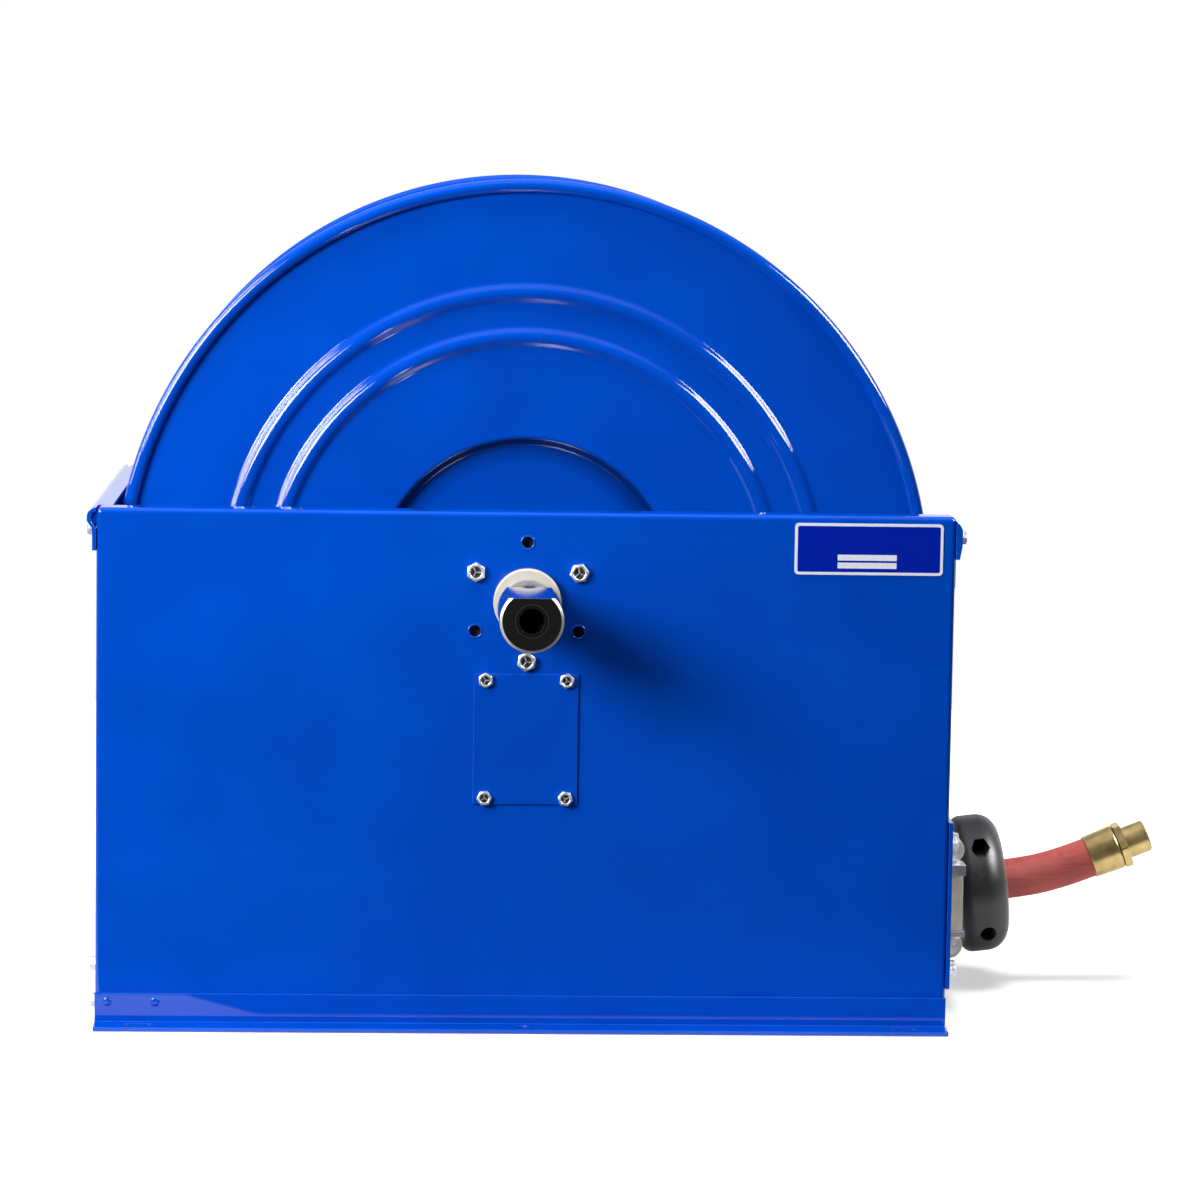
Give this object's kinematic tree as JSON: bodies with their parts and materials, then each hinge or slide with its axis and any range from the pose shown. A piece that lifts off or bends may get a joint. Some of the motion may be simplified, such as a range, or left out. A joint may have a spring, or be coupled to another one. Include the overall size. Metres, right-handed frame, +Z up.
{
  "type": "fire hose reel",
  "caption": "Spring-rewind hose reel: a drum between folded side frames on a slotted base, with an inlet swivel, roller hose guide and hose end with a bumper stop.",
  "frame": {"origin": "centre of the base's four corner slots, on the floor plane", "axes": "+Z up; +X out of the hose outlet; +Y from the swivel side to the spring side, along the drum axis"},
  "size_m": [0.8342, 0.54, 0.634],
  "materials": {
    "blue_enamel": "glossy blue powder coat",
    "zinc_fasteners": "bright zinc plate",
    "zinc_brackets": "zinc-plated sheet",
    "bare_steel": "turned and cut steel",
    "spring_steel": "blued spring steel",
    "bearing_steel": "ground steel",
    "cast_housing": "painted grey casting",
    "chromed_swivel": "bright nickel-chrome plate",
    "collar_finish": "cream",
    "seal_rubber": "black rubber",
    "roller_plastic": "light grey nylon",
    "hose_rubber": "dull red rubber",
    "bumper_rubber": "semi-gloss black rubber",
    "brass_fittings": "machined brass",
    "nameplate_face": "blank printed foil"
  },
  "bodies": {
    "frame": {"near_side_panel": "blue_enamel", "far_side_panel": "blue_enamel", "near_foot_angle": "blue_enamel", "far_foot_angle": "blue_enamel", "rear_top_member": "blue_enamel", "rear_lower_member": "blue_enamel", "front_top_tie": "blue_enamel", "front_guide_plate": "blue_enamel", "frame_bolts": "zinc_fasteners", "near_bearing_housing": "cast_housing", "bearing_housing_bolts": "zinc_fasteners", "near_bearing_outer_ring": "bearing_steel", "cover_plate": "blue_enamel", "cover_plate_bolts": "zinc_fasteners", "nameplate": "nameplate_face", "pawl_pin": "zinc_fasteners", "pawl_spring": "spring_steel", "latch_plate": "blue_enamel", "latch_plate_bolts": "zinc_fasteners", "spring_arbor": "bare_steel", "arbor_bolts": "zinc_fasteners", "far_bearing_inner_ring": "bearing_steel", "near_guide_bracket": "zinc_brackets", "far_guide_bracket": "zinc_brackets", "bracket_screws": "zinc_fasteners", "roller_pins": "zinc_fasteners", "hose_lead": "hose_rubber", "bumper_near_half": "bumper_rubber", "bumper_far_half": "bumper_rubber", "bumper_screws": "zinc_fasteners", "hose_ferrule": "brass_fittings", "hose_nipple": "brass_fittings"},
    "drum": {"near_bearing_inner_ring": "bearing_steel", "axle_collar": "collar_finish", "hollow_axle": "bare_steel", "gooseneck_riser": "bare_steel", "swivel_snap_ring": "spring_steel", "near_disc": "blue_enamel", "far_disc": "blue_enamel", "drum_core": "blue_enamel", "near_hub_plate": "blue_enamel", "drum_tie_bolts": "zinc_fasteners", "hose_pack": "hose_rubber", "spring_case": "blue_enamel", "spring_case_lid": "blue_enamel", "power_spring": "spring_steel", "ratchet_wheel": "bare_steel", "far_bearing_outer_ring": "bearing_steel"},
    "swivel": {"swivel_body": "chromed_swivel", "swivel_seal": "seal_rubber"},
    "upper_roller": {"upper_roller": "roller_plastic"},
    "lower_roller": {"lower_roller": "roller_plastic"},
    "near_roller": {"near_roller": "roller_plastic"},
    "far_roller": {"far_roller": "roller_plastic"},
    "pawl": {"pawl": "bare_steel"}
  },
  "joints": [
    {"name": "drum_spin", "type": "hinge", "parent": "frame", "child": "drum", "pos_m": [0, 0, 0.322], "axis": [0, 1, 0], "continuous": true},
    {"name": "swivel_turn", "type": "hinge", "parent": "frame", "child": "swivel", "pos_m": [0, -0.26, 0.322], "axis": [0, 1, 0], "continuous": true},
    {"name": "upper_roller_spin", "type": "hinge", "parent": "frame", "child": "upper_roller", "pos_m": [0.3335, 0, 0.1223], "axis": [0, 1, 0], "continuous": true},
    {"name": "lower_roller_spin", "type": "hinge", "parent": "frame", "child": "lower_roller", "pos_m": [0.3335, 0, 0.0477], "axis": [0, 1, 0], "continuous": true},
    {"name": "near_roller_spin", "type": "hinge", "parent": "frame", "child": "near_roller", "pos_m": [0.333, -0.122, 0.085], "axis": [0, 0, 1], "continuous": true},
    {"name": "far_roller_spin", "type": "hinge", "parent": "frame", "child": "far_roller", "pos_m": [0.333, 0.122, 0.085], "axis": [0, 0, 1], "continuous": true},
    {"name": "pawl_swing", "type": "hinge", "parent": "frame", "child": "pawl", "pos_m": [-0.016, 0.165, 0.231], "axis": [0, 1, 0], "range_deg": [0, 14], "stiffness_Nm_per_rad": 0.3, "springref_deg": -20.05}
  ]
}
